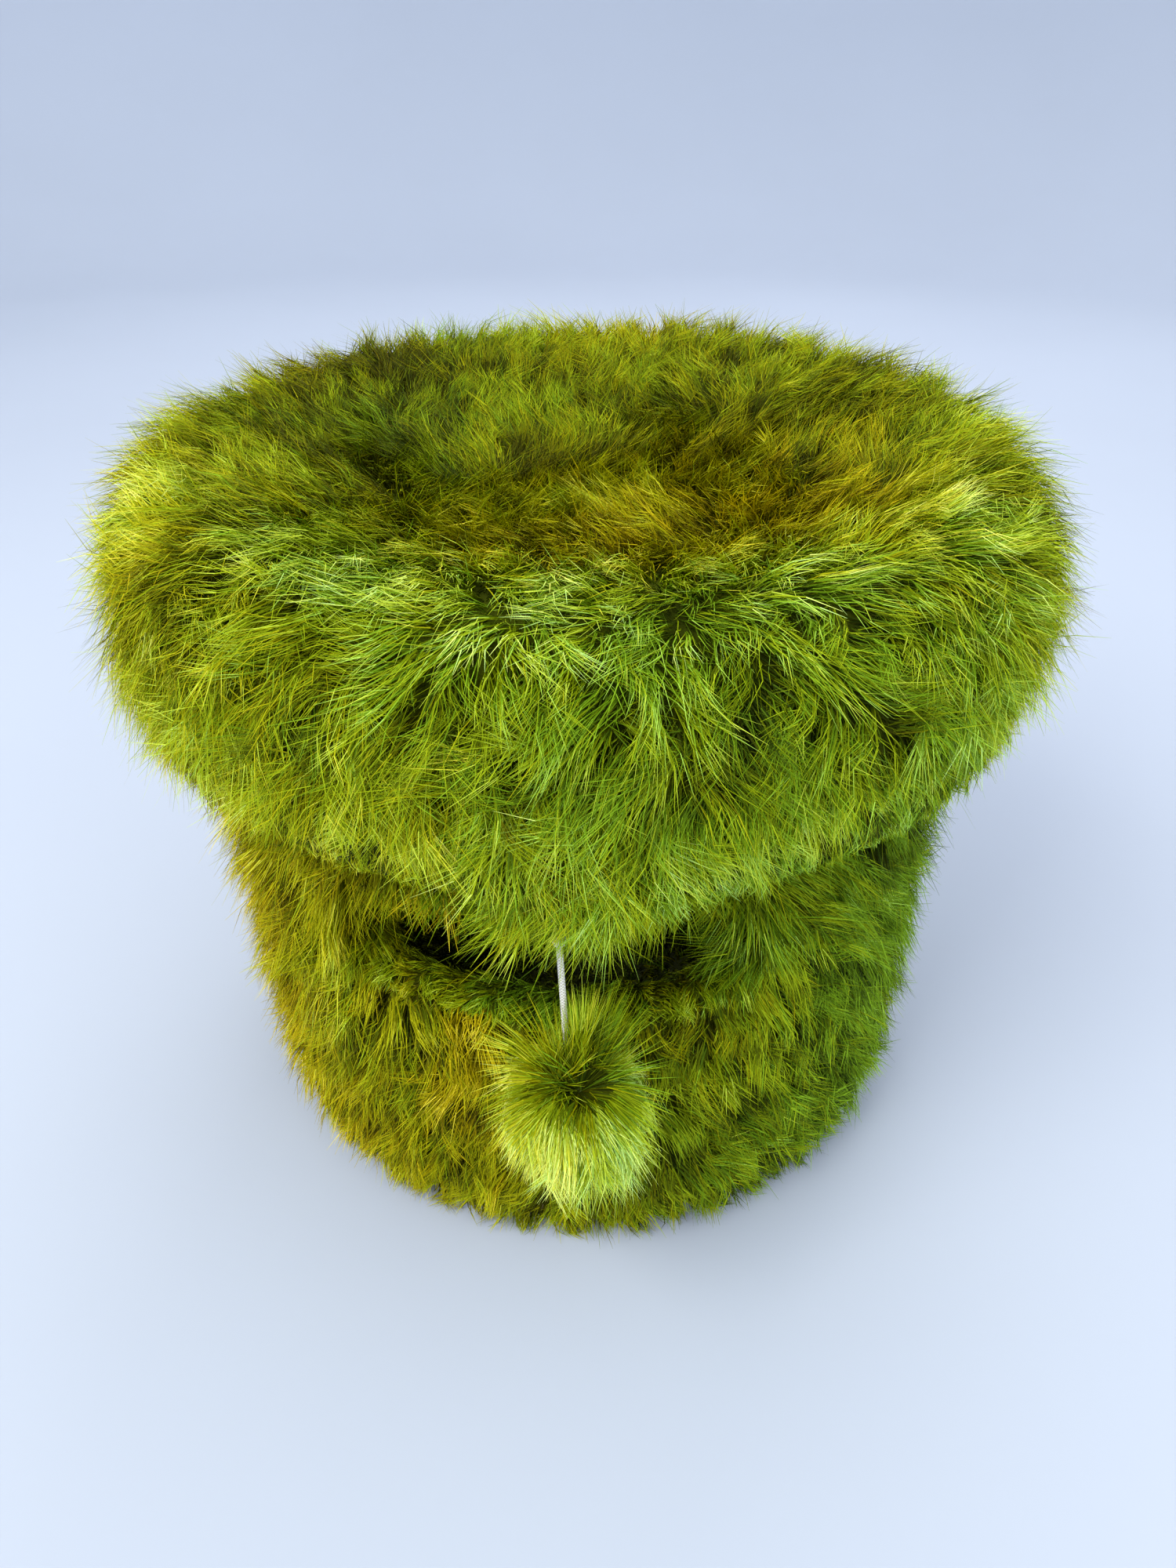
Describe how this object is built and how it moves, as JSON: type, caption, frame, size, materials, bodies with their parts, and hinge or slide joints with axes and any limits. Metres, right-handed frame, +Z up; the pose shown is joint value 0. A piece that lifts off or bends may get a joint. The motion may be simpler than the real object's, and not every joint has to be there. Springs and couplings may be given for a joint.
{
  "type": "pet den stool",
  "caption": "Round fur-covered stool with a padded seat, a hollow drum with a wide doorway for a small pet, and a fur pompom hung on a cord.",
  "frame": {"origin": "on the floor, under the centre of the round drum and seat", "axes": "+Z up, the doorway and the toy on the -Y side, +X to the right of someone facing the doorway"},
  "size_m": [0.39, 0.4069, 0.322],
  "materials": {
    "green_fur": "long faux fur pile, olive to yellow green",
    "pompom_pile": "long glossy faux fur pile, pale green",
    "den_plush": "short dark green plush",
    "drum_card": "wound brown card",
    "board": "bare fibreboard",
    "foam": "open-cell upholstery foam",
    "wadding": "stuffed fibre",
    "base_cloth": "thin black non-woven cloth",
    "foot_rubber": "matte",
    "zinc_steel": "zinc plated",
    "white_cord": "smooth round woven cord",
    "pompom_yarn": "tightly bound yarn"
  },
  "bodies": {
    "stool": {"foot_1": "foot_rubber", "foot_2": "foot_rubber", "foot_3": "foot_rubber", "foot_4": "foot_rubber", "foot_screw_1": "zinc_steel", "foot_screw_2": "zinc_steel", "foot_screw_3": "zinc_steel", "foot_screw_4": "zinc_steel", "dust_cover": "base_cloth", "base_board": "board", "ceiling_board": "board", "platform_board": "board", "drum_wall": "drum_card", "drum_lining": "den_plush", "doorway_binding": "den_plush", "ceiling_felt": "den_plush", "den_cushion": "den_plush", "drum_fur_cover": "green_fur", "seat_fur_cover": "green_fur", "base_screw_1": "zinc_steel", "base_screw_2": "zinc_steel", "base_screw_3": "zinc_steel", "base_screw_4": "zinc_steel", "ceiling_screw_1": "zinc_steel", "ceiling_screw_2": "zinc_steel", "ceiling_screw_3": "zinc_steel", "ceiling_screw_4": "zinc_steel", "platform_bolt_1": "zinc_steel", "platform_bolt_2": "zinc_steel", "platform_bolt_3": "zinc_steel", "platform_bolt_4": "zinc_steel", "washer_1": "zinc_steel", "washer_2": "zinc_steel", "washer_3": "zinc_steel", "washer_4": "zinc_steel", "tee_nut_1": "zinc_steel", "tee_nut_2": "zinc_steel", "tee_nut_3": "zinc_steel", "tee_nut_4": "zinc_steel", "cover_staple_1": "zinc_steel", "cover_staple_2": "zinc_steel", "cover_staple_3": "zinc_steel", "cover_staple_4": "zinc_steel", "cover_staple_5": "zinc_steel", "cover_staple_6": "zinc_steel", "cover_staple_7": "zinc_steel", "cover_staple_8": "zinc_steel", "eye_screw": "zinc_steel", "seat_foam": "foam", "bolster_ring": "wadding"},
    "loop": {"cord_loop": "white_cord"},
    "cord": {"cord_knot": "white_cord", "toy_cord": "white_cord"},
    "pompom": {"stop_knot": "white_cord", "pompom_core": "pompom_yarn", "pompom_fur": "pompom_pile"}
  },
  "joints": [
    {"name": "toy_swing_out", "type": "hinge", "parent": "stool", "child": "loop", "pos_m": [0.009, -0.168, 0.2019], "axis": [-1, 0, 0], "range_deg": [0, 60]},
    {"name": "toy_swing_side", "type": "hinge", "parent": "loop", "child": "cord", "pos_m": [0.00949, -0.16931, 0.19586], "axis": [0, -0.9774, 0.2116], "range_deg": [-60, 60]},
    {"name": "pompom_twist", "type": "hinge", "parent": "cord", "child": "pompom", "pos_m": [0.015, -0.184, 0.128], "axis": [0.0791, -0.2109, -0.9743], "range_deg": [-180, 180]}
  ]
}
